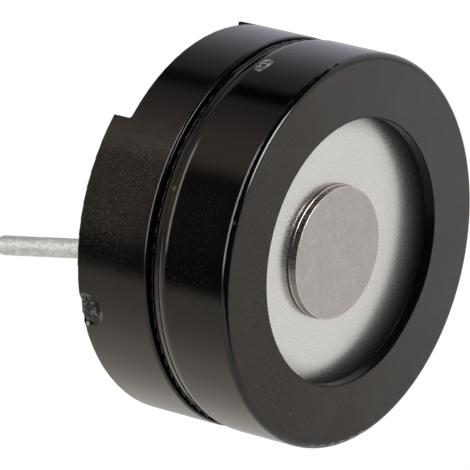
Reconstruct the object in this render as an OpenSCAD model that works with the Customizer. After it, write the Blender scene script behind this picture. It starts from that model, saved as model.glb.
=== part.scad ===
// Open-face magnetic sound transducer: a round plastic case in two parts, with an iron
// diaphragm and its weight showing through the front opening, and two pins behind.
// The origin is at the centre of the plane that the two feet stand on. +Z points out of
// the sound face. The two pins leave the circuit board along -Z, on the X axis.

/* [Case] */
// Outer diameter of the front ring
case_d = 12; // [11.2:0.1:14.4]
// Height from the feet to the sound face
total_h = 5.65; // [4.6:0.01:6.8]
// How far the rear shell's wall stands in from the front ring's
shell_inset = 0.02; // [0:0.01:0.08]
// Wall of the rear shell
shell_wall = 0.98; // [0.8:0.01:1.1]
// Wall of the rear shell's spigot, inside the front ring
spigot_wall = 0.5; // [0.3:0.01:0.6]
// Height of the shoulder that the front ring stands on
split_h = 2.645; // [2.3:0.005:3]
// Radius along the front ring's outer edge
front_edge_r = 0.2; // [0.05:0.01:0.3]
// Radius along the rear shell's front edge
shoulder_edge_r = 0.1; // [0.02:0.01:0.15]
// Radius along the rear shell's back edge
back_edge_r = 0.06; // [0.02:0.01:0.1]
// Height above the shoulder at which the front ring's skirt starts to lean in
skirt_top = 0.77; // [0.5:0.01:1]
// Radius of the bend at the top of the skirt
skirt_bend_r = 0.7; // [0.1:0.05:1.5]
// Lean of the skirt
skirt_lean = 13; // [5:0.5:20]
// Height of the skirt's lower edge above the shoulder
skirt_bottom = 0.22; // [0.2:0.01:0.4]
// Radius along that edge
skirt_edge_r = 0.06; // [0.02:0.01:0.08]
// Height of the middle of the fine bead below the skirt, above the shoulder
bead_h = 0.16; // [0.1:0.01:0.17]
// Radius of that bead's edge
bead_r = 0.03; // [0.01:0.005:0.03]
// How far the bead's edge stands in from the front ring's wall
bead_in = 0.09; // [0.05:0.01:0.15]
// How far the neck below the bead stands in from the wall
neck_in = 0.22; // [0.15:0.01:0.3]

/* [Opening] */
// Diameter of the round sound opening
opening_d = 8.12; // [6:0.02:9.8]
// Thickness of the lip around the opening
lip_t = 0.37; // [0.2:0.01:0.5]
// Radius along both edges of the lip
lip_edge_r = 0.04; // [0.01:0.01:0.1]
// Gap between the diaphragm's edge and the inside of the front ring
front_room = 0.05; // [0.02:0.01:0.1]

/* [Feet] */
// Height of the two feet
foot_h = 0.665; // [0.3:0.005:0.9]
// Angle that each foot covers
foot_span = 118.6; // [90:0.1:150]
// Angle from the line of the pins to the middle of a foot
feet_turn = 9.7; // [-30:0.1:30]
// Radius in the corners between a foot and the rim
foot_corner_r = 0.09; // [0.02:0.01:0.15]

/* [Gate marks] */
// Height of the middle of the round scoop at the back edge
back_scoop_z = 0.235; // [0:0.005:0.4]
// Radius of that scoop on the wall
back_scoop_r = 0.62; // [0.3:0.01:0.8]
// Depth of that scoop
back_scoop_depth = 0.16; // [0.05:0.01:0.3]
// Angle of that scoop from the line of the pins
back_scoop_turn = 8.9; // [-40:0.1:40]
// Angle of the hollow cut under the front ring's wall, from the line of the pins
ring_cut_turn = -81.5; // [-180:0.1:180]
// Radius of that hollow, which runs straight across
ring_cut_r = 0.53; // [0.4:0.01:0.8]
// Depth of that hollow
ring_cut_depth = 0.16; // [0.05:0.01:0.2]
// Height of the middle of that hollow above the shoulder
ring_cut_z = 0.25; // [0.2:0.01:0.4]

/* [Diaphragm] */
// Depth of the diaphragm's front below the sound face
diaphragm_depth = 0.69; // [0.6:0.01:1.2]
// Thickness of the diaphragm
diaphragm_t = 0.05; // [0.03:0.01:0.1]
// Diameter of the weight on the diaphragm
weight_d = 4.05; // [3:0.05:5]
// Thickness of the weight
weight_t = 0.3; // [0.2:0.01:0.4]
// How far the weight sits off the centre of the diaphragm
weight_shift = 0.2; // [0:0.005:0.3]
// Direction of that shift, from the line of the pins
weight_turn = 11; // [-180:0.5:180]
// Radius of the bead around the foot of the weight's punched edge
weight_bead_r = 0.045; // [0.02:0.005:0.07]
// How far that bead stands out
weight_bead_out = 0.03; // [0.005:0.005:0.05]
// Radius along the weight's upper edge
weight_edge_r = 0.015; // [0.005:0.005:0.05]

/* [Magnet and coil] */
// Thickness of the iron yoke plate
yoke_t = 0.5; // [0.3:0.05:0.8]
// Wall of the ring magnet
magnet_wall = 1.05; // [0.7:0.05:1.3]
// Height of the ring that carries the diaphragm
support_h = 0.8; // [0.4:0.05:0.9]
// Wall of the ring that carries the diaphragm
support_wall = 0.5; // [0.3:0.05:0.7]
// Diameter of the iron core
core_d = 2.8; // [2:0.05:3.4]
// Diameter of the core's stem, riveted in the yoke plate
stem_d = 1.8; // [1:0.05:2]
// Gap between the core and the diaphragm
air_gap = 0.2; // [0.1:0.01:0.3]
// Gap between the coil and the ring magnet
coil_room = 0.7; // [0.3:0.05:1]
// How far the coil's top lies below the core's
coil_drop = 0.25; // [0.1:0.05:0.5]
// Wall of the insulating sleeve on the core
sleeve_wall = 0.1; // [0.05:0.01:0.2]
// Diameter of the coil's enamelled wire
wire_d = 0.1; // [0.06:0.01:0.14]

/* [Board and pins] */
// Thickness of the circuit board
board_t = 0.8; // [0.5:0.05:1]
// Depth of the board below the rim between the feet
board_recess = 0.15; // [0.05:0.01:0.25]
// Thickness of the copper pads
pad_t = 0.035; // [0.018:0.001:0.07]
// Thickness of the shell's floor between the board and the yoke plate
floor_t = 0.35; // [0.25:0.05:0.6]
// Room between the coil's wires and the edge of the hole in the shell's floor
floor_hole_room = 0.5; // [0.2:0.05:0.8]
// Diameter of the pins
pin_d = 0.6; // [0.4:0.01:0.75]
// Distance between the pins
pin_pitch = 6.5; // [5.6:0.1:7.8]
// How far the pins reach below the feet
pin_drop = 5.185; // [2:0.005:8]
// Radius of the pins' rounded tips
pin_tip_r = 0.14; // [0.02:0.01:0.2]
// Distance from the solder to the bend of the pin that was bent in handling
bend_drop = 0.1; // [0.05:0.01:0.5]
// Radius of that bend, to the middle of the wire
bend_r = 0.8; // [0.4:0.05:2]
// Lean of that pin
pin_lean = 9.3; // [0:0.1:15]
// Direction of that lean, from the line of the pins
pin_lean_turn = 70; // [-180:1:180]
// Radius of a solder joint on its pad
solder_r = 0.75; // [0.6:0.01:0.8]
// Height of a solder joint
solder_h = 0.42; // [0.2:0.01:0.5]
// Distance from a pin to the hole for the coil's wire
wire_offset = 1.05; // [1:0.01:1.2]

/* [Hidden] */
$fn = 96;

// Clearances
ring_gap = 0.05;        // front ring over the spigot, and over its top
stack_gap = 0.05;       // diaphragm, rings and yoke plate in the shell's bore
board_gap = 0.05;       // circuit board in the shell's bore, filled with sealant
sleeve_gap = 0.02;      // insulating sleeve on the core
wire_gap = 0.05;        // coil wire in its holes
root_gap = 0.005;       // edges of a pin's squared root in their hole
yoke_hole_room = 0.1;   // yoke plate's wire hole, wider than the board's
pad_rim = 0.2;          // copper around a wire's hole
solder_margin = 0.07;   // copper around a solder joint
flank_slack = 1.05;     // solder joint's flank radius, over the larger of its width and height
cut = 1;                // how far a cutting shape runs past what it cuts

// Radii, from the outside in
case_r = case_d / 2;
shell_r = case_r - shell_inset;
bore_r = shell_r - shell_wall;
spigot_r = bore_r + spigot_wall;
ring_bore_r = spigot_r + ring_gap;
opening_r = opening_d / 2;
stack_r = bore_r - stack_gap;
cavity_r = stack_r + stack_gap + front_room;
magnet_bore_r = stack_r - magnet_wall;
coil_r = magnet_bore_r - coil_room;
core_r = core_d / 2;
sleeve_bore_r = core_r + sleeve_gap;
sleeve_r = sleeve_bore_r + sleeve_wall;
board_r = bore_r - board_gap;
pin_r = pin_d / 2;
pin_root_w = sqrt(PI) * pin_r; // squared root, with as much metal as the round wire
pin_hole_r = pin_root_w / sqrt(2) + root_gap;
wire_r = wire_d / 2;
wire_hole_r = wire_r + wire_gap;
yoke_hole_r = wire_hole_r + yoke_hole_room;
wire_pad_r = wire_hole_r + pad_rim;
pin_pad_r = solder_r + solder_margin;

// Heights, from the feet up
board_z = foot_h + board_recess;
board_top = board_z + board_t;
yoke_z = board_top + floor_t;
yoke_top = yoke_z + yoke_t;
coil_z = yoke_top + sleeve_wall;
diaphragm_top = total_h - diaphragm_depth;
diaphragm_z = diaphragm_top - diaphragm_t;
magnet_top = diaphragm_z - support_h;
core_top = diaphragm_z - air_gap;
coil_top = core_top - coil_drop;
ring_step_z = diaphragm_top + ring_gap;
lip_z = total_h - lip_t;
pad_z = board_z - pad_t;
solder_z = pad_z - solder_h;
bend_z = solder_z - bend_drop;

// Places along the pins' line
pin_x = pin_pitch / 2;
wire_x = pin_x - wire_offset;
floor_hole_r = wire_x + floor_hole_room;
gap_span = 180 - foot_span;

// What rounds off a corner of a half section: out is the corner's outward direction.
module corner_cut(at, r, out) {
    difference() {
        translate([at.x + out.x * (cut - r) / 2, at.y + out.y * (cut - r) / 2])
            square(cut + r, center = true);
        translate([at.x - out.x * r, at.y - out.y * r])
            circle(r);
    }
}

// Half section of a ring with a square cross section
module band(r_in, r_out, z_low, z_high) {
    translate([r_in, z_low])
        square([r_out - r_in, z_high - z_low]);
}

module tube(r_in, r_out, z_low, z_high) {
    rotate_extrude()
        band(r_in, r_out, z_low, z_high);
}

// A hole along Z through everything between two heights
module drill(x, r, z_low, z_high) {
    translate([x, 0, z_low - cut])
        cylinder(h = z_high - z_low + 2 * cut, r = r);
}

// A ball that dishes a wall of radius wall_r: rim_r is the dish's radius on the wall.
module dish_ball(turn, z, wall_r, rim_r, ball_r) {
    rotate([0, 0, turn])
        translate([wall_r + sqrt(ball_r * ball_r - rim_r * rim_r), 0, z])
            sphere(ball_r);
}

// Both spaces between the feet, as tall as the feet
module foot_gaps() {
    reach = 2 * case_r;
    for (side = [0, 180])
        rotate([0, 0, feet_turn + 90 - gap_span / 2 + side])
            translate([0, 0, -cut])
                linear_extrude(height = cut + foot_h)
                    polygon([
                        [0, 0],
                        [reach, 0],
                        [reach * cos(gap_span / 2), reach * sin(gap_span / 2)],
                        [reach * cos(gap_span), reach * sin(gap_span)],
                    ]);
}

// The four small fillets where a foot's end meets the rim
module foot_corners() {
    intersection() {
        tube(bore_r, shell_r, 0, foot_h);
        for (side = [0, 180], end = [-1, 1])
            rotate([0, 0, feet_turn + side + end * foot_span / 2])
                difference() {
                    translate([0, end > 0 ? 0 : -foot_corner_r, foot_h - foot_corner_r])
                        cube([case_r, foot_corner_r, foot_corner_r]);
                    translate([0, end * foot_corner_r, foot_h - foot_corner_r])
                        rotate([0, 90, 0])
                            cylinder(h = case_r, r = foot_corner_r);
                }
    }
}

module base_housing() {
    ball_r = (pow(back_scoop_r, 2) + pow(back_scoop_depth, 2)) / (2 * back_scoop_depth);
    color("#1d1c1b")
        difference() {
            union() {
                difference() {
                    rotate_extrude()
                        difference() {
                            union() {
                                band(bore_r, shell_r, 0, split_h);
                                band(bore_r, spigot_r, 0, diaphragm_top);
                                band(floor_hole_r, spigot_r, board_top, yoke_z);
                            }
                            corner_cut([shell_r, split_h], shoulder_edge_r, [1, 1]);
                            corner_cut([shell_r, 0], back_edge_r, [1, -1]);
                        }
                    foot_gaps();
                }
                foot_corners();
            }
            dish_ball(back_scoop_turn, back_scoop_z, shell_r, back_scoop_r, ball_r);
        }
}

// Half section of the front ring below its straight wall: the skirt, the bead and the neck
module skirt_section() {
    bend_z = split_h + skirt_top - skirt_bend_r * sin(skirt_lean);
    bend_x = case_r - skirt_bend_r * (1 - cos(skirt_lean));
    edge_z = split_h + skirt_bottom + skirt_edge_r;
    lean_end_x = bend_x - (bend_z - edge_z) * tan(skirt_lean);
    edge_x = lean_end_x - skirt_edge_r / cos(skirt_lean);
    bead_x = case_r - bead_in - bead_r;
    band(ring_bore_r, case_r - neck_in, split_h, split_h + skirt_top);
    intersection() {
        band(ring_bore_r, case_r, bend_z, split_h + skirt_top);
        translate([case_r - skirt_bend_r, split_h + skirt_top])
            circle(skirt_bend_r);
    }
    polygon([
        [ring_bore_r, split_h + skirt_bottom],
        [edge_x, split_h + skirt_bottom],
        [edge_x + skirt_edge_r * cos(skirt_lean), edge_z - skirt_edge_r * sin(skirt_lean)],
        [bend_x, bend_z],
        [ring_bore_r, bend_z],
    ]);
    translate([edge_x, edge_z])
        circle(skirt_edge_r);
    translate([bead_x, split_h + bead_h])
        circle(bead_r);
    band(ring_bore_r, bead_x, split_h + bead_h - bead_r, split_h + bead_h + bead_r);
}

module front_ring() {
    color("#1b1b1c")
        difference() {
            rotate_extrude()
                difference() {
                    union() {
                        skirt_section();
                        band(ring_bore_r, case_r, split_h + skirt_top, total_h);
                        band(cavity_r, case_r, ring_step_z, total_h);
                        band(opening_r, case_r, lip_z, total_h);
                    }
                    corner_cut([case_r, total_h], front_edge_r, [1, 1]);
                    corner_cut([opening_r, total_h], lip_edge_r, [-1, 1]);
                    corner_cut([opening_r, lip_z], lip_edge_r, [-1, -1]);
                }
            rotate([0, 0, ring_cut_turn])
                translate([case_r - ring_cut_depth + ring_cut_r, 0, split_h + ring_cut_z])
                    rotate([90, 0, 0])
                        cylinder(h = case_r, r = ring_cut_r, center = true);
        }
}

module diaphragm() {
    color("#c9c8c3")
        tube(0, stack_r, diaphragm_z, diaphragm_top);
}

module diaphragm_weight() {
    color("#aea9a4")
        rotate([0, 0, weight_turn])
            translate([weight_shift, 0, diaphragm_top])
                rotate_extrude()
                    difference() {
                        union() {
                            square([weight_d / 2, weight_t]);
                            translate([weight_d / 2 + weight_bead_out - weight_bead_r, weight_bead_r])
                                circle(weight_bead_r);
                        }
                        corner_cut([weight_d / 2, weight_t], weight_edge_r, [1, 1]);
                    }
}

module support_ring() {
    color("#c8a85a")
        tube(stack_r - support_wall, stack_r, magnet_top, diaphragm_z);
}

module ring_magnet() {
    color("#4a494b")
        tube(magnet_bore_r, stack_r, yoke_top, magnet_top);
}

module yoke_plate() {
    color("#a8a8a6")
        difference() {
            tube(stem_d / 2, stack_r, yoke_z, yoke_top);
            for (side = [-1, 1])
                drill(side * wire_x, yoke_hole_r, yoke_z, yoke_top);
        }
}

module core_pole() {
    color("#b2b1ad") {
        tube(0, stem_d / 2, yoke_z, yoke_top);
        tube(0, core_r, yoke_top, core_top);
    }
}

module coil_insulator() {
    color("#d8c48a")
        difference() {
            union() {
                tube(sleeve_bore_r, sleeve_r, yoke_top, coil_top);
                tube(sleeve_bore_r, coil_r, yoke_top, coil_z);
            }
            for (side = [-1, 1])
                drill(side * wire_x, wire_hole_r, yoke_top, coil_z);
        }
}

module coil_winding() {
    color("#b5683a")
        tube(sleeve_r, coil_r, coil_z, coil_top);
}

// The coil wire's end: down from the winding through the board, then along the pad
// into the solder. side is 1 or -1.
module coil_lead(side) {
    lead_z = pad_z - wire_r;
    color("#b5683a") {
        translate([side * wire_x, 0, lead_z]) {
            cylinder(h = coil_z - lead_z, r = wire_r);
            sphere(wire_r);
            rotate([0, 90 * side, 0])
                cylinder(h = wire_offset - pin_r - wire_d, r = wire_r);
        }
    }
}

module circuit_board() {
    color("#3f6b48")
        difference() {
            union() {
                tube(0, board_r, board_z, board_top);
                for (side = [-1, 1])
                    translate([side * pin_x, 0, pad_z])
                        cylinder(h = pad_t, r = pin_pad_r);
                for (side = [-1, 1])
                    translate([side * wire_x, 0, pad_z])
                        cylinder(h = pad_t, r = wire_pad_r);
            }
            for (side = [-1, 1]) {
                drill(side * pin_x, pin_hole_r, pad_z, board_top);
                drill(side * wire_x, wire_hole_r, pad_z, board_top);
            }
        }
}

// The free length of a pin, from its start at the origin down to the rounded tip
module pin_wire(length) {
    rotate([180, 0, 0])
        rotate_extrude()
            difference() {
                band(0, pin_r, 0, length);
                corner_cut([pin_r, length], pin_tip_r, [1, 1]);
            }
}

// A pin: its squared root is staked in the board, it runs straight through the solder, and
// past the bend its free length leans by lean degrees.
module terminal_pin(side, lean) {
    free_l = bend_z + pin_drop;
    bent_l = bend_r * lean * PI / 180;
    color("#c9c9c6")
        translate([side * pin_x, 0, 0]) {
            translate([-pin_root_w / 2, -pin_root_w / 2, pad_z])
                cube([pin_root_w, pin_root_w, board_top - pad_z]);
            translate([0, 0, bend_z]) {
                cylinder(h = pad_z - bend_z, r = pin_r);
                rotate([0, 0, pin_lean_turn]) {
                    if (lean > 0)
                        translate([bend_r, 0, 0])
                            rotate([90, 0, 0])
                                rotate([0, 0, 180])
                                    rotate_extrude(angle = lean)
                                        translate([bend_r, 0])
                                            circle(pin_r);
                    translate([bend_r * (1 - cos(lean)), 0, -bend_r * sin(lean)])
                        rotate([0, -lean, 0])
                            pin_wire(free_l - bent_l);
                }
            }
        }
}

// A solder joint: a ring with a hollow flank, from its pad down to the pin
module solder_joint(side) {
    flank_w = solder_r - pin_r;
    flank_r = max(flank_w, solder_h) * flank_slack;
    color("#bdbdba")
        difference() {
            translate([side * pin_x, 0, 0])
                rotate_extrude()
                    difference() {
                        band(pin_r, solder_r, solder_z, pad_z);
                        translate([pin_r + flank_r, pad_z - flank_r])
                            circle(flank_r);
                    }
            coil_lead(side);
        }
}

module rear_sealant() {
    color("#2a2622")
        rotate_extrude()
            difference() {
                union() {
                    band(board_r, bore_r, board_z, board_top);
                    band(bore_r - board_recess, bore_r, foot_h, board_z);
                }
                translate([bore_r - board_recess, foot_h])
                    circle(board_recess);
            }
}

base_housing();
front_ring();
diaphragm();
diaphragm_weight();
support_ring();
ring_magnet();
yoke_plate();
core_pole();
coil_insulator();
coil_winding();
coil_lead(1);  // coil_lead_a
coil_lead(-1);  // coil_lead_b
circuit_board();
terminal_pin(1, pin_lean);  // terminal_pin_a
terminal_pin(-1, 0);  // terminal_pin_b
solder_joint(1);  // solder_joint_a
solder_joint(-1);  // solder_joint_b
rear_sealant();
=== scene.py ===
"""Looks for the open-face magnetic buzzer: materials, gate breaks, floor, light and camera."""
import math

import bmesh
import bpy
from mathutils import Matrix, Vector, noise


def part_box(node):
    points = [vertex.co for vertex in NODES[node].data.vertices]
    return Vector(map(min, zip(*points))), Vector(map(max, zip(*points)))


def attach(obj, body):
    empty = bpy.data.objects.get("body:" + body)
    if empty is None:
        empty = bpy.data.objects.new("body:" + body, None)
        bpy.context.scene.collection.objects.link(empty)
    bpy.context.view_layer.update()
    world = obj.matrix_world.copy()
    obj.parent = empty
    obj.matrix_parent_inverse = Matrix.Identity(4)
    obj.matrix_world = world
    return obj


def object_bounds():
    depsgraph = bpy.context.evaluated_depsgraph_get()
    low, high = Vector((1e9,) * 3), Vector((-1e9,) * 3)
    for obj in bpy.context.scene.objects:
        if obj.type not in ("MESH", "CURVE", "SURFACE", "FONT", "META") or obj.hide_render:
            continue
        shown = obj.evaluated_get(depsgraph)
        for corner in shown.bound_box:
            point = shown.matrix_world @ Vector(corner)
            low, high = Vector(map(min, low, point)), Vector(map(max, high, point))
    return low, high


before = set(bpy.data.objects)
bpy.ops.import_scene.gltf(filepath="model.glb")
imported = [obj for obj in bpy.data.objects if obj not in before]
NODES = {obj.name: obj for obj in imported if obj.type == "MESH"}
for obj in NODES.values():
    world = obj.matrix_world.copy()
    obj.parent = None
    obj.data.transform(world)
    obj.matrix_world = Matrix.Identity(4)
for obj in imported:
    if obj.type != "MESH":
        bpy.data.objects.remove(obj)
cad_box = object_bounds()

MM = 0.001                      # the scene is in metres, the sizes below are in millimetres

# ---------------------------------------------------------------- places read from the frame
ring_low, ring_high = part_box("front_ring")
shell_low, shell_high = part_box("base_housing")
face_z = ring_high.z / MM                   # the sound face
ring_r = ring_high.x / MM                   # the ring's outer wall
shell_r = shell_high.x / MM                 # the shell's outer wall
foot_z = shell_low.z / MM
seat_z = ring_low.z / MM                    # where the ring stands on the shell's shoulder
disc_low, disc_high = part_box("diaphragm_weight")
disc_x = (disc_low.x + disc_high.x) / 2 / MM
disc_y = (disc_low.y + disc_high.y) / 2 / MM
disc_r = (disc_high.x - disc_low.x) / 2 / MM
disc_z = disc_high.z / MM
disc_t = disc_z - disc_low.z / MM
disc_top_r = disc_r - 0.03                  # inside the bead around its foot

# how far the mesh's facets may lie off the true round walls and edges, in millimetres
WALL_SLACK, RIM_SLACK = 0.013, 0.012
EDGE_SLACK_LEAST, EDGE_SLACK_MOST = 0.007, 0.02


# ---------------------------------------------------------------- short calls for node trees
class Tree:
    """A node tree, with one short call for each kind of node that is used often."""

    def __init__(self, tree):
        self.tree = tree
        tree.nodes.clear()

    def node(self, kind, **settings):
        made = self.tree.nodes.new(kind)
        for name, value in settings.items():
            setattr(made, name, value)
        return made

    def put(self, value, socket):
        if isinstance(value, bpy.types.NodeSocket):
            self.tree.links.new(value, socket)
        elif value is not None:
            socket.default_value = value

    def math(self, operation, a, b=None, c=None):
        made = self.node("ShaderNodeMath", operation=operation)
        for value, socket in zip((a, b, c), made.inputs):
            self.put(value, socket)
        return made.outputs[0]

    def vector(self, operation, a, b=None, scale=None):
        made = self.node("ShaderNodeVectorMath", operation=operation)
        self.put(a, made.inputs[0])
        if b is not None:
            self.put(b, made.inputs[1])
        if scale is not None:
            self.put(scale, made.inputs["Scale"])
        return made.outputs["Value" if operation in ("LENGTH", "DOT_PRODUCT") else "Vector"]

    def both(self, *masks):
        """One where every mask is one."""
        made = masks[0]
        for mask in masks[1:]:
            made = self.math("MULTIPLY", made, mask)
        return made

    def above(self, value, limit):
        """One where the value is over the limit, nought elsewhere."""
        return self.math("GREATER_THAN", value, limit)

    def below(self, value, limit):
        """One where the value is under the limit, nought elsewhere."""
        return self.math("LESS_THAN", value, limit)

    def ramp(self, value, low, high, to_low=0.0, to_high=1.0, kind="SMOOTHSTEP"):
        made = self.node("ShaderNodeMapRange", interpolation_type=kind, clamp=True)
        for item, socket in zip((value, low, high, to_low, to_high), made.inputs):
            self.put(item, socket)
        return made.outputs[0]

    def past(self, value, edge, soft):
        """One past an edge, nought before it, with a soft change between."""
        return self.ramp(value, edge - soft, edge + soft)

    def short_of(self, value, edge, soft):
        """One before an edge, nought past it, with a soft change between."""
        return self.ramp(value, edge - soft, edge + soft, 1.0, 0.0)

    def noise(self, vector, scale, detail=2.0, rough=0.5, distort=0.0):
        made = self.node("ShaderNodeTexNoise", noise_dimensions="3D")
        self.put(vector, made.inputs["Vector"])
        for name, value in (("Scale", scale), ("Detail", detail), ("Roughness", rough),
                            ("Distortion", distort)):
            self.put(value, made.inputs[name])
        return made.outputs["Fac"]

    def cells(self, vector, scale, output="Distance"):
        made = self.node("ShaderNodeTexVoronoi")
        self.put(vector, made.inputs["Vector"])
        self.put(scale, made.inputs["Scale"])
        return made.outputs[output]

    def mix(self, share, a, b):
        """A colour or direction mixed from a to b."""
        made = self.node("ShaderNodeMix", data_type="RGBA")
        self.put(share, made.inputs["Factor"])
        self.put(a, made.inputs[6])
        self.put(b, made.inputs[7])
        return made.outputs[2]

    def lerp(self, share, a, b):
        """A number mixed from a to b."""
        made = self.node("ShaderNodeMix", data_type="FLOAT")
        self.put(share, made.inputs["Factor"])
        self.put(a, made.inputs[2])
        self.put(b, made.inputs[3])
        return made.outputs[0]

    def bump(self, height, depth_mm, under=None):
        made = self.node("ShaderNodeBump")
        self.put(1.0, made.inputs["Strength"])
        self.put(depth_mm * MM, made.inputs["Distance"])
        self.put(height, made.inputs["Height"])
        self.put(under, made.inputs["Normal"])
        return made.outputs[0]


class Finish(Tree):
    """A material with one Principled shader, and the place on the object in millimetres."""

    def __init__(self, name, **settings):
        self.material = bpy.data.materials.new(name)
        self.material.use_nodes = True
        super().__init__(self.material.node_tree)
        self.out = self.node("ShaderNodeOutputMaterial")
        self.shader = self.node("ShaderNodeBsdfPrincipled")
        self.put(self.shader.outputs[0], self.out.inputs["Surface"])
        for socket, value in settings.items():
            self.set(socket.replace("_", " "), value)
        place = self.node("ShaderNodeTexCoord").outputs["Object"]
        self.place = self.vector("SCALE", place, scale=1 / MM)
        split = self.node("ShaderNodeSeparateXYZ")
        self.put(self.place, split.inputs[0])
        self.x, self.y, self.z = split.outputs
        flat = self.node("ShaderNodeCombineXYZ")
        self.put(self.x, flat.inputs[0])
        self.put(self.y, flat.inputs[1])
        self.flat = flat.outputs[0]
        self.radius = self.vector("LENGTH", self.flat)

    def set(self, socket, value):
        self.put(value, self.shader.inputs[socket])

    def stretched(self, x, y, z):
        """The place, squeezed by a factor along each axis, for grain that runs one way."""
        return self.vector("MULTIPLY", self.place, (x, y, z))

    def near(self, centre, radius, soft):
        """One inside a ball, nought outside, with a soft edge."""
        away = self.vector("LENGTH", self.vector("SUBTRACT", self.place, centre))
        return self.short_of(away, radius, soft)

    def turned(self, true, share, normal):
        """The direction true, given on the object, laid over another one by a share."""
        world = self.node("ShaderNodeVectorTransform", vector_type="NORMAL",
                          convert_from="OBJECT", convert_to="WORLD")
        self.put(true, world.inputs[0])
        mixed = self.node("ShaderNodeMix", data_type="VECTOR")
        self.put(share, mixed.inputs["Factor"])
        self.put(normal, mixed.inputs[4])
        self.put(world.outputs[0], mixed.inputs[5])
        return mixed.outputs[1]

    def rounded(self, wall_r, edges):
        """The true direction of a round wall and of its rounded edges.

        The mesh has long facets, which would show as teeth in the gloss. Each edge is
        (centre radius, centre height, radius). It rounds outward and up where its radius is
        above nought, outward and down where it is below.
        """
        rim = self.vector("NORMALIZE", self.flat)
        normal = self.node("ShaderNodeNewGeometry").outputs["Normal"]
        is_wall = self.math("COMPARE", self.radius, wall_r, WALL_SLACK)
        normal = self.turned(rim, is_wall, normal)
        for centre_r, centre_z, edge_r in edges:
            out = self.math("SUBTRACT", self.radius, centre_r)
            up = self.math("SUBTRACT", self.z, centre_z)
            up_squared = self.math("MULTIPLY", up, up)
            out_squared = self.math("MULTIPLY", out, out)
            away = self.math("SQRT", self.math("ADD", out_squared, up_squared))
            slack = min(EDGE_SLACK_MOST, max(EDGE_SLACK_LEAST, 0.1 * abs(edge_r)))
            share = self.both(self.math("COMPARE", away, abs(edge_r), slack),
                              self.above(self.math("MULTIPLY", up, edge_r), -1e-4 * abs(edge_r)),
                              self.above(out, -RIM_SLACK))
            lift = self.node("ShaderNodeCombineXYZ")
            self.put(up, lift.inputs[2])
            # the height alone gives the slope: it is exact along every facet
            level = self.math("SUBTRACT", edge_r * edge_r, up_squared)
            lean = self.math("SQRT", self.math("MAXIMUM", level, 0.0))
            true = self.vector("ADD", self.vector("SCALE", rim, scale=lean), lift.outputs[0])
            normal = self.turned(self.vector("NORMALIZE", true), share, normal)
        return normal


def rgb(red, green, blue):
    return (red, green, blue, 1.0)


def on_wall(turn, z, radius):
    """A point on a round wall, in millimetres."""
    turn = math.radians(turn)
    return Vector((radius * math.cos(turn), radius * math.sin(turn), z))


# ---------------------------------------------------------------- black plastic
# painted light: the lamps' warm colour, laid into the tint of what the plastic mirrors; large
# edges mirror a neutral tone
MIRROR_WARM = rgb(1.0, 0.84, 0.72)
MIRROR_NEUTRAL = rgb(0.97, 0.97, 0.93)
BLACK, HAZE, DUST_AND_GLINT = rgb(0.0014, 0.0012, 0.0010), rgb(0.052, 0.046, 0.040), rgb(0.55, 0.53, 0.49)
EDGE_GLOSS = 0.16               # no edge is rougher than this
LARGE_EDGE = 0.05               # edges over this radius mirror in a neutral tone
OPENING_R = 4.06                # the sound opening, whose wall is duller
LIP_EDGE = 0.045                # a little more than the opening's rounded edge

# fine dust: scale, least share, biggest grain, how pale
DUST_GRAINS = [(21.0, 0.50, 0.50, 0.13), (10.0, 0.93, 0.30, 0.30)]
# where dust lies thicker: turn and height on the wall
DUST_PATCHES = [(-30.0, foot_z + 1.3), (-38.0, foot_z + 2.0), (-18.0, foot_z + 1.0),
                (-26.0, face_z - 1.3), (-8.0, face_z - 1.5)]
# single pale specks of dust, and a painted glint (the second) on the housing's gate corner: turn,
# height, radius, how pale
SPECKS_AND_GLINT = [(-32.7, seat_z + 0.47, 0.09, 0.10), (13.8, foot_z + 0.14, 0.07, 0.55),
          (-27.3, face_z - 0.06, 0.07, 0.08)]
# a faint round mark on the ring: turn, height, radius, width of its line
WITNESS_TURN, WITNESS_Z, WITNESS_R, WITNESS_LINE = -92.3, seat_z + 1.10, 0.53, 0.035
FACE_SLACK = 0.0005             # how far under the sound face its matt finish reaches
FACE_RIM, FACE_RIM_SLACK = 0.5, 0.004       # width of its rim, where it reaches lower
LIT_SIDE_TURN = 192.0               # painted light: the side towards which the face is painted paler


def dust_patches(m, where, wall_r):
    """Where dust gathers: cloudy all over, and thick in the patches."""
    patch = m.math("MULTIPLY", m.ramp(where, 0.46, 0.66), 0.4)
    for turn, z in DUST_PATCHES:
        patch = m.math("MAXIMUM", patch, m.near(on_wall(turn, z, wall_r), 1.0, 0.9))
    return patch


def dust_specks_and_glint(m, patch, dusty, wall_r):
    """Grains of dust, most of them in the patches, the single pale specks, and one painted glint.
    """
    dust = None
    for scale, least, biggest, seen in DUST_GRAINS:
        which = m.cells(m.place, scale, output="Color")
        speck = m.below(m.cells(m.place, scale), m.ramp(which, least, 1.0, 0.0, biggest, "LINEAR"))
        speck = m.math("MULTIPLY", speck, seen)
        dust = speck if dust is None else m.math("MAXIMUM", dust, speck)
    amount = m.math("MULTIPLY", m.math("ADD", patch, 0.06), dusty)
    dust = m.math("MULTIPLY", dust, amount)
    for turn, z, radius, seen in SPECKS_AND_GLINT:
        speck = m.near(on_wall(turn, z, wall_r), radius, 0.02)
        dust = m.math("MAXIMUM", dust, m.math("MULTIPLY", speck, seen))
    return dust


def dust_film(m, patch, blotch, dusty, wall_r):
    """A thin film on the outer wall, in streaks that run around it."""
    streak = m.noise(m.stretched(0.30, 0.30, 1.6), 26.0, 3.0, 0.72)
    return m.both(m.ramp(streak, 0.44, 0.72, 0.0, dusty), m.ramp(blotch, 0.42, 0.66),
                  m.math("ADD", patch, 0.10), m.math("COMPARE", m.radius, wall_r, 0.006))


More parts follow.
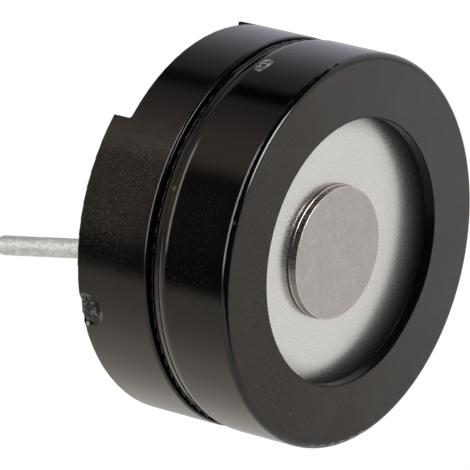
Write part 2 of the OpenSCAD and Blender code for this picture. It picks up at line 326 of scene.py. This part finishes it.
def glossy_edges(m, look, gloss, edges):
    """The rounded edges, glossier than the walls."""
    for centre_r, centre_z, edge_r in edges:
        past = m.above(m.z, centre_z) if edge_r > 0 else m.below(m.z, centre_z)
        on_edge = m.both(m.above(m.radius, centre_r), past)
        look["Roughness"] = m.lerp(on_edge, look["Roughness"], min(gloss, EDGE_GLOSS))
        if edge_r > LARGE_EDGE:
            look["Specular Tint"] = m.mix(on_edge, look["Specular Tint"], MIRROR_NEUTRAL)


def witness_mark(m, look, wall_r):
    """The faint round line that the photo shows on the ring's wall."""
    away = m.vector("SUBTRACT", m.place, on_wall(WITNESS_TURN, WITNESS_Z, wall_r))
    line = m.math("ABSOLUTE", m.math("SUBTRACT", m.vector("LENGTH", away), WITNESS_R))
    look["Normal"] = m.bump(m.ramp(line, 0.0, WITNESS_LINE), 0.0025, under=look["Normal"])


def matt_face(m, look, where, face_r, face):
    """The flat sound face, matt and painted paler on one side as painted light, and the dull wall
    of its opening.
    """
    near_rim = m.above(m.radius, face_r - FACE_RIM)
    high = m.math("ADD", m.z, m.math("MULTIPLY", near_rim, FACE_RIM_SLACK))
    is_face = m.both(m.above(high, face - FACE_SLACK), m.below(m.radius, face_r))
    grain = m.noise(m.place, 15.0, 4.0, 0.8)
    # painted light: the face grows paler towards one side, with a cloudy tone laid over it
    lit_side = m.vector("DOT_PRODUCT", m.place, on_wall(LIT_SIDE_TURN, 0.0, 1.0))
    cloudy = m.math("MULTIPLY", m.math("SUBTRACT", where, 0.5), 0.5)
    lit_side = m.math("ADD", m.ramp(lit_side, -5.5, 6.0), cloudy)
    pale = m.mix(lit_side, rgb(0.003, 0.0015, 0.0005), rgb(0.043, 0.045, 0.046))
    pale = m.mix(m.ramp(grain, 0.45, 0.70), pale, rgb(0.034, 0.030, 0.026))
    opening = m.below(m.radius, OPENING_R + LIP_EDGE)
    shine = m.lerp(is_face, look["Specular IOR Level"], 0.40)
    look["Specular IOR Level"] = m.lerp(opening, shine, 0.14)
    look["Base Color"] = m.mix(is_face, look["Base Color"], pale)
    look["Roughness"] = m.lerp(is_face, look["Roughness"], 0.55)
    grainy = m.bump(grain, 0.010, under=look["Normal"])
    look["Normal"] = m.mix(is_face, look["Normal"], grainy)


def shaded_crevice(m, look, lowest, highest, widest):
    """Painted shade: a part that mirrors little, between two heights and inside a radius, in the
    groove where the parts meet.
    """
    in_shade = m.both(m.above(m.z, lowest), m.below(m.z, highest), m.below(m.radius, widest))
    look["Specular IOR Level"] = m.lerp(in_shade, look["Specular IOR Level"], 0.05)
    look["Roughness"] = m.lerp(in_shade, look["Roughness"], 0.7)


def plastic(name, gloss, shine, dusty, wall_r, edges, crevice, face=None):
    """Black moulded plastic with glossy edges. dusty is the strength of its dust, crevice the
    place of the painted shade of shaded_crevice. Where face is given, it is the height of a matt
    face."""
    m = Finish(name, IOR=1.5)
    where = m.noise(m.place, 0.55, 2.0, 0.5)
    blotch = m.noise(m.place, 21.0, 3.0, 0.75)
    patch = dust_patches(m, where, wall_r)
    film = dust_film(m, patch, blotch, dusty, wall_r)
    rough = m.ramp(blotch, 0.3, 0.7, gloss - 0.03, gloss + 0.03, "LINEAR")
    look = {
        "Base Color": m.mix(film, BLACK, HAZE),
        "Roughness": m.math("ADD", rough, m.math("MULTIPLY", film, 0.08)),
        "Specular IOR Level": shine,
        "Specular Tint": MIRROR_WARM,
    }
    glossy_edges(m, look, gloss, edges)
    wave = m.bump(m.noise(m.place, 1.6, 2.0, 0.5), 0.004, under=m.rounded(wall_r, edges))
    look["Normal"] = m.bump(blotch, 0.0005, under=wave)
    if face is not None:
        witness_mark(m, look, wall_r)
        matt_face(m, look, where, edges[0][0], face)
    # painted shade in the groove where the ring meets the housing
    shaded_crevice(m, look, *crevice)
    # dust, and a painted glint on the housing's gate corner
    dust = dust_specks_and_glint(m, patch, dusty, wall_r)
    look["Base Color"] = m.mix(dust, look["Base Color"], DUST_AND_GLINT)
    for socket, value in look.items():
        m.set(socket, value)
    return m.material


# ---------------------------------------------------------------- metals and the inner pieces
SHADE_START_R, SHADE_FULL_R = 3.40, 4.10        # painted shade: the diaphragm is darker towards its rim, under the lip


def steel_plate(name):
    """The diaphragm: thin satin sheet, with a fine grain that blurs what it mirrors."""
    m = Finish(name, Metallic=0.90)
    grain = m.noise(m.place, 26.0, 4.0, 0.75)
    blot = m.noise(m.place, 0.8, 3.0, 0.6)
    tone = m.mix(blot, rgb(0.70, 0.69, 0.655), rgb(0.76, 0.75, 0.715))
    which = m.cells(m.place, 7.0, output="Color")
    pit = m.below(m.cells(m.place, 7.0), m.ramp(which, 0.94, 1.0, 0.0, 0.2, "LINEAR"))
    tone = m.mix(m.math("MULTIPLY", pit, 0.5), tone, rgb(0.34, 0.33, 0.31))
    # painted shade towards the rim, which lies under the lip and mirrors the ring's dark wall
    shaded = m.ramp(m.radius, SHADE_START_R, SHADE_FULL_R, 0.0, 0.66)
    tone = m.mix(shaded, tone, rgb(0.20, 0.18, 0.15))
    m.set("Base Color", tone)
    m.set("Roughness", m.ramp(grain, 0.3, 0.7, 0.19, 0.33, "LINEAR"))
    m.set("Normal", m.bump(grain, 0.0012))
    return m.material


SIDE_START = 0.014              # the weight's side begins this far under its top
BURR = 0.035                    # width of the bright burr along its top edge
BEAD = 0.10                     # height of the bead around its foot
FOOT_SHADOW = 0.05                     # height of the painted shadow under the bead, where the weight meets the diaphragm
LIT_FLANK_TURN, LIT_FLANK_R = 14.0, 0.75        # painted highlight: the side of it that is painted bright
# long scratches on it: turn, how many, how pale
SCRATCHES = [(70.0, 14.0, 0.5), (-38.0, 17.0, 0.45), (15.0, 12.0, 0.4), (118.0, 15.0, 0.4)]


def scratched(m, tone):
    """Thin pale lines, broken up into lengths."""
    lengths = m.ramp(m.noise(m.place, 1.7, 2.0), 0.47, 0.60)
    for turn, many, seen in SCRATCHES:
        level = m.node("ShaderNodeVectorRotate", rotation_type="Z_AXIS")
        m.put(m.place, level.inputs["Vector"])
        m.put(math.radians(turn), level.inputs["Angle"])
        along = m.vector("MULTIPLY", level.outputs[0], (0.5, many, 1.0))
        middle = m.math("ABSOLUTE", m.math("SUBTRACT", m.noise(along, 1.0, 1.0, 0.4), 0.5))
        cut = m.math("MULTIPLY", m.ramp(middle, 0.004, 0.014, 1.0, 0.0), lengths)
        tone = m.mix(m.math("MULTIPLY", cut, seen), tone, rgb(0.66, 0.63, 0.60))
    return tone


def punched_side(m, teeth, below, bead):
    """The weight's side: torn and dark, partly as painted shade, with a painted highlight on one
    flank, paler on the bead, and a painted shadow along its lowest edge.
    """
    specks = m.noise(m.place, 30.0, 3.0, 0.7)
    # the torn side is dark partly from its own torn steel, and partly as painted shade mirrored
    # from the dark gap around it
    tone = m.mix(m.ramp(m.math("MULTIPLY", teeth, specks), 0.17, 0.36),
                 rgb(0.05, 0.034, 0.025), rgb(0.46, 0.39, 0.33))
    # painted highlight on one flank of the side
    flank = Vector((disc_x, disc_y, disc_z)) + on_wall(LIT_FLANK_TURN, 0.0, disc_top_r)
    lit_flank = m.math("MULTIPLY", m.near(flank, LIT_FLANK_R, 0.35), 0.5)
    tone = m.mix(lit_flank, tone, rgb(0.60, 0.55, 0.50))
    tone = m.mix(bead, tone, rgb(0.66, 0.60, 0.54))
    # painted shadow along the bottom of the side, where it meets the diaphragm
    foot_shadow = m.ramp(below, disc_t - FOOT_SHADOW, disc_t - FOOT_SHADOW + 0.015)
    return m.mix(foot_shadow, tone, rgb(0.035, 0.028, 0.022))


def steel_weight(name):
    """The small disc: rolled strip, scratched, with a bright burr and a punched edge."""
    m = Finish(name, Metallic=1.0)
    split = m.node("ShaderNodeSeparateXYZ")
    m.put(m.vector("SUBTRACT", m.place, (disc_x, disc_y, disc_z)), split.inputs[0])
    flat = m.node("ShaderNodeCombineXYZ")
    m.put(split.outputs[0], flat.inputs[0])
    m.put(split.outputs[1], flat.inputs[1])
    from_middle = m.vector("LENGTH", flat.outputs[0])
    below = m.math("MULTIPLY", split.outputs[2], -1.0)
    lines = m.noise(m.stretched(5.0, 1.0, 1.0), 2.2, 5.0, 0.75)
    grain = m.noise(m.place, 12.0, 5.0, 0.8)
    tone = m.mix(m.ramp(lines, 0.30, 0.70), rgb(0.435, 0.40, 0.375), rgb(0.515, 0.48, 0.45))
    tone = m.mix(m.ramp(grain, 0.42, 0.75), tone, rgb(0.375, 0.34, 0.315))
    tone = scratched(m, tone)
    burr = m.ramp(from_middle, disc_top_r - BURR, disc_top_r - BURR + 0.02, kind="LINEAR")
    tone = m.mix(m.math("MULTIPLY", burr, 0.7), tone, rgb(0.86, 0.82, 0.78))
    rough = m.ramp(grain, 0.3, 0.7, 0.34, 0.46, "LINEAR")
    rough = m.lerp(burr, rough, 0.22)
    side = m.above(below, SIDE_START)
    teeth = m.noise(m.stretched(1.0, 1.0, 0.10), 17.0, 4.0, 0.75)
    bead = m.ramp(below, disc_t - BEAD, disc_t - BEAD + 0.015, kind="LINEAR")
    m.set("Base Color", m.mix(side, tone, punched_side(m, teeth, below, bead)))
    m.set("Roughness", m.lerp(side, rough, m.lerp(bead, 0.36, 0.20)))
    rise = m.math("ADD", m.math("MULTIPLY", lines, 0.5), m.math("MULTIPLY", grain, 0.5))
    m.set("Normal", m.bump(m.lerp(side, rise, teeth), 0.006))
    return m.material


def tin(name):
    """Hot-tinned wire: pale, mottled and frosty."""
    m = Finish(name, Metallic=0.4)
    mottle = m.noise(m.stretched(1.0, 1.0, 0.6), 8.0, 4.0, 0.65, 0.4)
    frost = m.noise(m.place, 16.0, 3.0, 0.7)
    streak = m.noise(m.stretched(1.0, 1.0, 0.12), 6.0, 2.0, 0.5)
    tone = m.mix(m.ramp(mottle, 0.36, 0.64), rgb(0.48, 0.485, 0.46), rgb(0.66, 0.665, 0.64))
    tone = m.mix(m.ramp(streak, 0.55, 0.75), tone, rgb(0.46, 0.46, 0.44))
    tone = m.mix(m.ramp(frost, 0.56, 0.68), tone, rgb(0.85, 0.85, 0.84))
    m.set("Base Color", tone)
    m.set("Roughness", m.ramp(frost, 0.3, 0.7, 0.46, 0.62, "LINEAR"))
    rise = m.math("ADD", mottle, m.math("MULTIPLY", frost, 0.35))
    m.set("Normal", m.bump(rise, 0.015))
    return m.material


def plain(name, low, high, rough, metallic=0.0):
    """A piece that the photo hides: a fine grain between two tones."""
    m = Finish(name, Metallic=metallic)
    grain = m.noise(m.place, 6.0, 4.0, 0.6)
    m.set("Base Color", m.mix(grain, rgb(*low), rgb(*high)))
    m.set("Roughness", m.ramp(grain, 0.3, 0.7, rough - 0.06, rough + 0.06, "LINEAR"))
    m.set("Normal", m.bump(grain, 0.01))
    return m.material


def plain_metal(name, low, high, rough):
    """The same in metal."""
    return plain(name, low, high, rough, metallic=1.0)


def laminate(name, pads_z):
    """The board: green laminate with a fine weave, and tinned pads on its outer face."""
    m = Finish(name)
    weave = m.noise(m.stretched(1.0, 0.35, 1.0), 7.0, 3.0, 0.6)
    tin_grain = m.noise(m.place, 9.0, 4.0, 0.65)
    pad = m.below(m.z, pads_z + 0.02)
    green = m.mix(weave, rgb(0.035, 0.105, 0.045), rgb(0.06, 0.17, 0.075))
    tinned = m.mix(tin_grain, rgb(0.55, 0.55, 0.54), rgb(0.78, 0.78, 0.76))
    m.set("Base Color", m.mix(pad, green, tinned))
    m.set("Metallic", pad)
    m.set("Roughness", m.lerp(pad, m.ramp(weave, 0.3, 0.7, 0.36, 0.48), 0.27))
    m.set("Normal", m.bump(m.lerp(pad, weave, tin_grain), 0.004))
    return m.material


WIRE_PITCH = 0.1                # from one turn of the coil's wire to the next


def wound_wire(name):
    """Enamelled wire wound in layers: one fine ridge a turn."""
    m = Finish(name, Metallic=1.0, Coat_Weight=0.4)
    ridge = m.math("ABSOLUTE", m.math("SINE", m.math("MULTIPLY", m.z, math.pi / WIRE_PITCH)))
    m.set("Base Color", m.mix(ridge, rgb(0.20, 0.06, 0.02), rgb(0.80, 0.36, 0.17)))
    m.set("Roughness", 0.28)
    m.set("Normal", m.bump(ridge, 0.04))
    return m.material


def broken_plastic(name, size, white):
    """Torn gate: whitened where the plastic was stretched. size is that of its facets."""
    m = Finish(name, Roughness=0.24, Specular_Tint=rgb(1.0, 0.95, 0.9))
    torn = m.noise(m.place, 9.0 / size, 4.0, 0.75)
    chip = m.noise(m.place, 17.0 / size, 3.0, 0.7)
    pale = m.math("MULTIPLY", m.ramp(torn, 0.42, 0.55), m.ramp(chip, 0.46, 0.56))
    whitened = rgb(white, white * 0.95, white * 0.88)
    m.set("Base Color", m.mix(pale, rgb(0.004, 0.004, 0.004), whitened))
    m.set("Normal", m.bump(m.noise(m.place, 20.0, 3.0, 0.7), 0.03))
    return m.material


FINISHES = {
    "base_housing": plastic("housing_black", gloss=0.16, shine=0.54, dusty=0.7, wall_r=shell_r,
                            edges=[(shell_r - 0.10, seat_z - 0.10, 0.10),
                                   (shell_r - 0.06, foot_z + 0.06, -0.06)],
                            crevice=(seat_z - 0.012, face_z, shell_r)),
    "front_ring": plastic("ring_black", gloss=0.10, shine=0.5, dusty=0.3, wall_r=ring_r,
                          edges=[(ring_r - 0.20, face_z - 0.20, 0.20),
                                 (ring_r - 0.70, seat_z + 0.77, -0.70),
                                 (ring_r - 0.156, seat_z + 0.28, -0.06),
                                 (ring_r - 0.12, seat_z + 0.16, 0.03)],
                          crevice=(seat_z, seat_z + 0.5, ring_r - 0.19), face=face_z),
    "diaphragm": steel_plate("diaphragm_satin"),
    "diaphragm_weight": steel_weight("weight_rolled"),
    "terminal_pin": tin("pin_tinned"),
    "solder_joint": plain_metal("solder_bright", (0.62, 0.62, 0.63), (0.80, 0.80, 0.80), 0.24),
    "coil_winding": wound_wire("coil_copper"),
    "coil_lead": plain_metal("lead_copper", (0.62, 0.24, 0.10), (0.80, 0.36, 0.17), 0.26),
    "core_pole": plain_metal("core_iron", (0.42, 0.41, 0.40), (0.55, 0.54, 0.53), 0.34),
    "yoke_plate": plain_metal("yoke_iron", (0.42, 0.41, 0.40), (0.55, 0.54, 0.53), 0.36),
    "support_ring": plain_metal("support_brass", (0.62, 0.45, 0.17), (0.74, 0.56, 0.25), 0.30),
    "ring_magnet": plain("magnet_ferrite", (0.035, 0.034, 0.035), (0.06, 0.058, 0.06), 0.62),
    "coil_insulator": plain("insulator_film", (0.55, 0.42, 0.22), (0.66, 0.53, 0.30), 0.5),
    "circuit_board": laminate("board_laminate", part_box("circuit_board")[0].z / MM),
    "rear_sealant": plain("sealant_resin", (0.012, 0.012, 0.013), (0.03, 0.03, 0.032), 0.2),
}
for name, node in NODES.items():
    made = FINISHES[max((start for start in FINISHES if name.startswith(start)), key=len)]
    node.data.materials.clear()
    node.data.materials.append(made)


# ---------------------------------------------------------------- gate breaks
LUMP_RINGS, LUMP_SPOKES = 9, 34
LUMP_ROOT = 0.12                # how far the closed lump reaches into the wall
RAGGED = 0.16                   # how much its outline wanders
EDGE_SINK = 0.10                # how far its edge dips under the wall
FOOT_ROOM = 0.006               # how far the housing's lump stays above the ground


def lump_points(turn, z, wall_r, half_width, half_height, proud, rough_mm, seed, least_z):
    """Rings of points, from the lump's middle out to its sunken edge."""
    rings = []
    for i in range(LUMP_RINGS + 1):
        share = i / LUMP_RINGS
        ring = []
        for k in range(LUMP_SPOKES if i else 1):
            angle = 2 * math.pi * k / LUMP_SPOKES
            around = Vector((2.3 * math.cos(angle), 2.3 * math.sin(angle), seed))
            reach = share * (1 + RAGGED * noise.noise(around))
            across = half_width * reach * math.cos(angle)
            up = half_height * reach * math.sin(angle)
            torn = noise.fractal(Vector((across * 7, up * 7, seed)), 0.6, 2.2, 4)
            rise = proud * (1 - share ** 4) + rough_mm * torn * (1 - 0.5 * share)
            rise -= EDGE_SINK * share ** 6
            side = turn + math.degrees(across / wall_r)
            ring.append(on_wall(side, max(z + up, least_z), wall_r + rise) * MM)
        rings.append(ring)
    return rings


def gate_break(name, slot, look, **shape):
    """A rough lump where the gate broke off a round wall: a closed lump with torn facets."""
    mesh = bmesh.new()
    rings = [[mesh.verts.new(point) for point in ring] for ring in lump_points(**shape)]
    middle, edge = rings[0][0], rings[-1]
    root = [mesh.verts.new(v.co - Vector((v.co.x, v.co.y, 0)).normalized() * LUMP_ROOT * MM)
            for v in edge]
    for k in range(LUMP_SPOKES):
        n = (k + 1) % LUMP_SPOKES
        mesh.faces.new((middle, rings[1][k], rings[1][n]))
        for inner, outer in zip(rings[1:], rings[2:] + [root]):
            mesh.faces.new((inner[k], outer[k], outer[n], inner[n]))
    mesh.faces.new(list(reversed(root)))
    bmesh.ops.recalc_face_normals(mesh, faces=mesh.faces)
    data = bpy.data.meshes.new(name)
    mesh.to_mesh(data)
    mesh.free()
    data.materials.append(look)
    piece = bpy.data.objects.new(name, data)
    bpy.context.scene.collection.objects.link(piece)
    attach(piece, "root")


gate_break("housing_gate_break", "housing_plastic", broken_plastic("housing_torn", 1.7, 0.11),
           turn=9.4, z=foot_z + 0.25, wall_r=shell_r - 0.10, half_width=0.66, half_height=0.38,
           proud=0.06, rough_mm=0.09, seed=3.1, least_z=foot_z + FOOT_ROOM)
gate_break("ring_gate_break", "ring_plastic", broken_plastic("ring_torn", 1.0, 0.50),
           turn=-79.2, z=seat_z + 0.915, wall_r=ring_r + 0.012, half_width=0.44,
           half_height=0.27, proud=0.012, rough_mm=0.035, seed=7.7, least_z=foot_z)

# ---------------------------------------------------------------- floor, light and camera
AZIMUTH, ELEVATION, ROLL = 62.52, 36.40, 104.03     # degrees
DISTANCE = 181.35                                   # mm from the aim point
AIM = Vector((-0.368, 0.579, 0.870))                # mm
LENS, SENSOR = 459.57, 36.0

FLOOR_SIZE = 3.0                # metres
PAPER = rgb(0.90, 0.90, 0.90)
PAPER_DIMMED, PAPER_GLOW = 0.89, 0.95       # for the camera: light kept back, own light added


def floor_paper():
    """Paper that the camera sees nearly white everywhere, with a faint shadow."""
    material = bpy.data.materials.new("floor_paper")
    material.use_nodes = True
    t = Tree(material.node_tree)
    seen = t.node("ShaderNodeLightPath").outputs["Is Camera Ray"]
    lit = t.node("ShaderNodeBsdfDiffuse")
    t.put(PAPER, lit.inputs["Color"])
    dimmed = t.node("ShaderNodeMixShader")
    t.put(t.math("MULTIPLY", seen, PAPER_DIMMED), dimmed.inputs[0])
    t.put(lit.outputs[0], dimmed.inputs[1])
    glow = t.node("ShaderNodeEmission")
    t.put(t.math("MULTIPLY", seen, PAPER_GLOW), glow.inputs["Strength"])
    total = t.node("ShaderNodeAddShader")
    t.put(dimmed.outputs[0], total.inputs[0])
    t.put(glow.outputs[0], total.inputs[1])
    out = t.node("ShaderNodeOutputMaterial")
    t.put(total.outputs[0], out.inputs["Surface"])
    return material


floor_mesh = bmesh.new()
bmesh.ops.create_grid(floor_mesh, x_segments=8, y_segments=8, size=FLOOR_SIZE / 2,
                      matrix=Matrix.Translation((0, 0, cad_box[0].z)))
floor_data = bpy.data.meshes.new("floor")
floor_mesh.to_mesh(floor_data)
floor_mesh.free()
floor_data.materials.append(floor_paper())
floor = bpy.data.objects.new("floor", floor_data)
bpy.context.scene.collection.objects.link(floor)
floor.visible_glossy = False        # the studio beyond the table is what the gloss mirrors

# A plain white tent with an open side, as the gloss mirrors it. Bearings and heights are in
# degrees, bearings from the line of the pins. Later panels hang in front of earlier ones.
TENT = (0.80, 0.80, 0.80)
PANELS = [
    # bearing, half width, soft edge, lowest, highest, soft edge, brightness
    (150.0, 180.0, 0.1, -90.0, -6.0, 8.0, (0.62, 0.62, 0.62)),      # the table, from the front
    (-150.0, 45.0, 15.0, -90.0, -6.0, 8.0, (0.63, 0.64, 0.73)),     # its side in cooler light
    (86.0, 36.0, 20.0, -90.0, -6.0, 8.0, (1.02, 0.97, 0.89)),       # its lit side
    (-104.0, 38.0, 24.0, -90.0, 0.0, 10.0, (0.19, 0.19, 0.225)),    # its shaded side
    (-108.0, 6.0, 4.0, -90.0, 0.0, 10.0, (0.0, 0.0, 0.0)),          # the black middle of that
    (-62.0, 22.0, 18.0, -72.0, -16.0, 6.0, (0.52, 0.49, 0.46)),     # half light beside it
    (-18.0, 36.0, 6.0, -47.0, -16.0, 3.0, (0.02, 0.02, 0.02)),      # the open side
    (-150.0, 45.0, 15.0, -90.0, -46.0, 5.0, (0.22, 0.22, 0.24)),    # low down, on the cool side
    (-45.0, 37.0, 8.0, -90.0, -60.0, 3.0, (0.35, 0.34, 0.32)),      # low down, under the lamps
    (8.0, 17.0, 8.0, -90.0, -60.0, 3.0, (0.16, 0.155, 0.15)),       # low down, beside them
    (-155.0, 26.0, 5.0, -26.0, 30.0, 8.0, (1.15, 1.17, 1.25)),      # a bright corner of the tent
    (-36.0, 34.0, 6.0, -53.0, -42.0, 2.0, (3.8, 3.7, 3.6)),         # the lower strip lamp
    (-36.0, 34.0, 6.0, -26.0, 1.0, 3.0, (5.6, 5.5, 5.3)),           # the upper strip lamp
]
OPEN_TURN = 62.5                # the bearing across the open top of the tent
# its four borders, as parts of a direction, each with its softness
OPEN_FROM, OPEN_TO, OPEN_FAR, OPEN_LOW = (-1.20, 0.08), (0.60, 0.06), (0.24, 0.05), (0.06, 0.03)
OPEN_DARK = rgb(0.02, 0.02, 0.02)
SPOT = Vector((-0.34, 0.07, 0.94)).normalized()       # a small lamp, along and across that bearing
SPOT_SIZE, SPOT_SOFT, SPOT_LIGHT = 11.0, 2.0, 14.0     # degrees, degrees, brightness


def studio():
    """The world: plain white light, and the tent wherever the gloss mirrors it."""
    world = bpy.data.worlds.new("studio")
    bpy.context.scene.world = world
    world.use_nodes = True
    w = Tree(world.node_tree)
    out = w.node("ShaderNodeOutputWorld")
    direction = w.node("ShaderNodeTexCoord").outputs["Generated"]
    split = w.node("ShaderNodeSeparateXYZ")
    w.put(direction, split.inputs[0])
    x, y, z = split.outputs
    bearing = w.math("MULTIPLY", w.math("ARCTAN2", y, x), 180 / math.pi)
    height = w.math("MULTIPLY", w.math("ARCSINE", z), 180 / math.pi)
    shade = rgb(*TENT)
    for place, half_width, soft, low, high, soft_up, bright in PANELS:
        turn = w.math("WRAP", w.math("SUBTRACT", bearing, place), 180.0, -180.0)
        share = w.both(w.short_of(w.math("ABSOLUTE", turn), half_width, soft),
                       w.past(height, low, soft_up), w.short_of(height, high, soft_up))
        shade = w.mix(share, shade, rgb(*bright))
    cross = Vector((math.cos(math.radians(OPEN_TURN)), math.sin(math.radians(OPEN_TURN)), 0))
    away = Vector((-cross.y, cross.x, 0))
    side = w.vector("DOT_PRODUCT", direction, cross)
    far = w.vector("DOT_PRODUCT", direction, away)
    gap = w.both(w.past(side, *OPEN_FROM), w.short_of(side, *OPEN_TO),
                 w.short_of(far, *OPEN_FAR), w.past(z, *OPEN_LOW))
    shade = w.mix(gap, shade, OPEN_DARK)
    spot = cross * SPOT.x + away * SPOT.y + Vector((0, 0, SPOT.z))
    close = w.vector("DOT_PRODUCT", direction, spot)
    lit = w.ramp(close, math.cos(math.radians(SPOT_SIZE + SPOT_SOFT)),
                 math.cos(math.radians(SPOT_SIZE)))
    shade = w.mix(lit, shade, rgb(SPOT_LIGHT, SPOT_LIGHT, SPOT_LIGHT))
    rays = w.node("ShaderNodeLightPath")
    light = w.node("ShaderNodeBackground")
    w.put(w.mix(rays.outputs["Is Glossy Ray"], rgb(1.0, 1.0, 1.0), shade), light.inputs["Color"])
    w.put(light.outputs[0], out.inputs["Surface"])


studio()

camera_data = bpy.data.cameras.new("camera")
camera_data.lens = LENS
camera_data.sensor_width = SENSOR
camera_data.clip_start = 0.01
camera_data.clip_end = 10.0
camera = bpy.data.objects.new("camera", camera_data)
bpy.context.scene.collection.objects.link(camera)
turn, tilt = math.radians(AZIMUTH), math.radians(ELEVATION)
back = Vector((math.sin(turn) * math.cos(tilt), -math.cos(turn) * math.cos(tilt),
               math.sin(tilt)))
level_view = back.to_track_quat("Z", "Y").to_matrix().to_4x4()
camera.matrix_world = (Matrix.Translation((AIM + back * DISTANCE) * MM) @ level_view
                       @ Matrix.Rotation(math.radians(ROLL), 4, "Z"))
bpy.context.scene.camera = camera

bpy.context.scene.view_settings.view_transform = "Standard"
